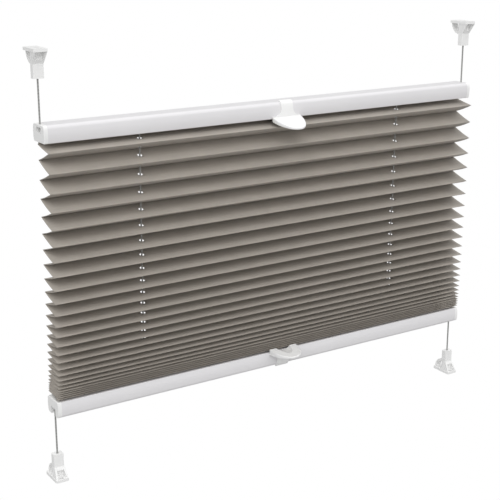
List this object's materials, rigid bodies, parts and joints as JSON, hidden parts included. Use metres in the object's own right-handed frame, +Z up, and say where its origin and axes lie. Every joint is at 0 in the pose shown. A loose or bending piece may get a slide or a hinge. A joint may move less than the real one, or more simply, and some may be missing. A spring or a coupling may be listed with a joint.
{
  "type": "pleated blind",
  "caption": "Tensioned pleated blind with two movable white rails, a taupe pleated cloth between them, taut guide cords and screw-on corner shoes.",
  "frame": {"origin": "midway between the screw holes of the two upper shoes, level with the faces that meet the window frame", "axes": "+X along the rails, +Y from the room side to the window side, +Z up"},
  "size_m": [0.4074, 0.041, 0.3275],
  "materials": {
    "rail_lacquer": "smooth white powder coat, satin",
    "white_plastic": "moulded white, semi-gloss",
    "inner_plastic": "matt, hidden in the rails",
    "cloth": "matt taupe pleated polyester cloth",
    "cord": "braided grey cord",
    "spring_steel": "bright spring wire"
  },
  "bodies": {
    "fixings": {"shoe_top_left": "white_plastic", "shoe_top_right": "white_plastic", "shoe_bottom_left": "white_plastic", "shoe_bottom_right": "white_plastic", "pleated_cloth": "cloth", "cord_upper_left": "cord", "cord_upper_right": "cord", "cord_lower_left": "cord", "cord_lower_right": "cord"},
    "upper_rail": {"top_rail": "rail_lacquer", "clamp_strip_top": "inner_plastic", "handle_top": "white_plastic", "end_cap_top_left": "white_plastic", "end_cap_top_right": "white_plastic", "cord_guide_top_left": "inner_plastic", "cord_guide_top_right": "inner_plastic"},
    "lower_rail": {"bottom_rail": "rail_lacquer", "clamp_strip_bottom": "inner_plastic", "handle_bottom": "white_plastic", "end_cap_bottom_left": "white_plastic", "end_cap_bottom_right": "white_plastic", "cord_guide_bottom_left": "inner_plastic", "cord_guide_bottom_right": "inner_plastic", "spring_left": "spring_steel", "spring_right": "spring_steel"}
  },
  "joints": [
    {"name": "upper_rail_slide", "type": "slide", "parent": "fixings", "child": "upper_rail", "axis": [0, 0, 1], "range_m": [-0.07, 0.03], "deforming": ["pleated_cloth", "cord_upper_left", "cord_upper_right"]},
    {"name": "lower_rail_slide", "type": "slide", "parent": "fixings", "child": "lower_rail", "axis": [0, 0, 1], "range_m": [-0.03, 0.07], "deforming": ["pleated_cloth", "cord_upper_left", "cord_upper_right", "cord_lower_left", "cord_lower_right"]}
  ]
}
